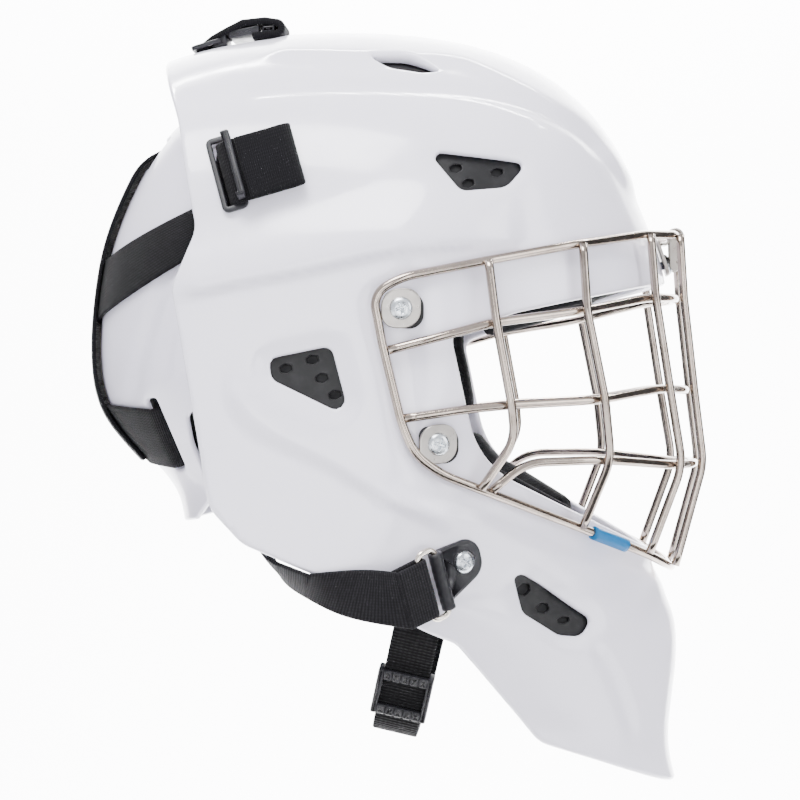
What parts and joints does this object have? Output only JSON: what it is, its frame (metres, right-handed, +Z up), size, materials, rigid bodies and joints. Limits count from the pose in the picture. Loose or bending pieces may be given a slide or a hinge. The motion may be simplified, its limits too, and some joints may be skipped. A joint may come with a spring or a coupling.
{
  "type": "goalie mask",
  "caption": "Ice hockey goalie mask: moulded shell with a wire cage, vents and padding, and a backplate on an elastic harness.",
  "frame": {"origin": "middle of the head cavity, at eye level, on the mask's middle plane", "axes": "+X is the way the wearer faces, +Z is up, +Y is the wearer's left"},
  "size_m": [0.2777, 0.2488, 0.3433],
  "materials": {
    "black_plastic": "moulded",
    "black_rubber": "matte",
    "cage_steel": "polished nickel",
    "elastic": "woven elastic",
    "foam": "brushed lining over foam",
    "grille_black": "moulded",
    "plate_white": "gloss white",
    "screw_steel": "zinc plated",
    "shell_white": "gloss white",
    "sleeve_blue": "gloss",
    "tab_steel": "satin",
    "webbing": "woven webbing"
  },
  "bodies": {
    "shell": {"brow_vent_grille_left": "grille_black", "brow_vent_grille_right": "grille_black", "cage_bracket": "tab_steel", "cage_clip": "tab_steel", "cage_crossbars": "cage_steel", "cage_gaskets": "black_rubber", "cage_rim": "cage_steel", "cage_sleeve": "sleeve_blue", "cage_tabs": "tab_steel", "cage_uprights": "cage_steel", "cheek_pad_left": "foam", "cheek_pad_right": "foam", "cheek_vent_grille_left": "grille_black", "cheek_vent_grille_right": "grille_black", "chin_pad": "foam", "chin_rivet_left": "screw_steel", "chin_rivet_right": "screw_steel", "chin_vent_grille_left": "grille_black", "chin_vent_grille_right": "grille_black", "crown_pad": "foam", "crown_vent_grille_left": "grille_black", "crown_vent_grille_right": "grille_black", "forehead_pad": "foam", "jaw_anchor_left": "black_plastic", "jaw_anchor_right": "black_plastic", "jaw_pad_left": "foam", "jaw_pad_right": "foam", "lower_strap_front_left": "elastic", "lower_strap_front_right": "elastic", "lower_strap_rear_left": "elastic", "lower_strap_rear_right": "elastic", "mask_shell": "shell_white", "screws": "screw_steel", "side_strap_fold_left": "elastic", "side_strap_fold_right": "elastic", "side_strap_frame_left": "black_plastic", "side_strap_frame_right": "black_plastic", "tee_nuts": "screw_steel", "temple_pad_left": "foam", "temple_pad_right": "foam", "top_strap_fold": "elastic", "top_strap_frame": "black_plastic", "top_strap_link": "elastic", "upper_strap_left": "elastic", "upper_strap_right": "elastic"},
    "backplate": {"backplate": "plate_white", "backplate_liner": "foam", "back_strap": "elastic", "upper_band": "elastic", "lower_band": "elastic"},
    "right_ring": {"strap_ring_right": "screw_steel", "ring_strap_end_right": "elastic"},
    "left_ring": {"strap_ring_left": "screw_steel", "ring_strap_end_left": "elastic"},
    "chin_strap": {"chin_strap": "webbing"},
    "chin_slider": {"chin_slider": "black_plastic"}
  },
  "joints": [
    {"name": "backplate_swing", "type": "hinge", "parent": "shell", "child": "backplate", "pos_m": [-0.088, 0, 0.14], "axis": [0, 1, 0], "range_deg": [0, 20], "stiffness_Nm_per_rad": 1.2, "springref_deg": -5.73, "deforming": ["upper_strap_right", "upper_strap_left", "top_strap_link", "lower_strap_rear_right", "lower_strap_rear_left"]},
    {"name": "right_ring_hinge", "type": "hinge", "parent": "shell", "child": "right_ring", "pos_m": [0.02222, -0.10866, -0.07214], "axis": [-0.2284, -0.3088, 0.9233], "range_deg": [0, 40], "deforming": ["lower_strap_front_right"]},
    {"name": "left_ring_hinge", "type": "hinge", "parent": "shell", "child": "left_ring", "pos_m": [0.02222, 0.10866, -0.07214], "axis": [0.2284, -0.3088, -0.9233], "range_deg": [0, 40], "deforming": ["lower_strap_front_left"]},
    {"name": "chin_strap_swing", "type": "hinge", "parent": "shell", "child": "chin_strap", "pos_m": [0.014, 0, -0.086], "axis": [0, 1, 0], "range_deg": [-8, 35]},
    {"name": "chin_slider_slide", "type": "slide", "parent": "chin_strap", "child": "chin_slider", "axis": [0.2039, -0.4235, 0.8826], "range_m": [0, 0.01]}
  ]
}
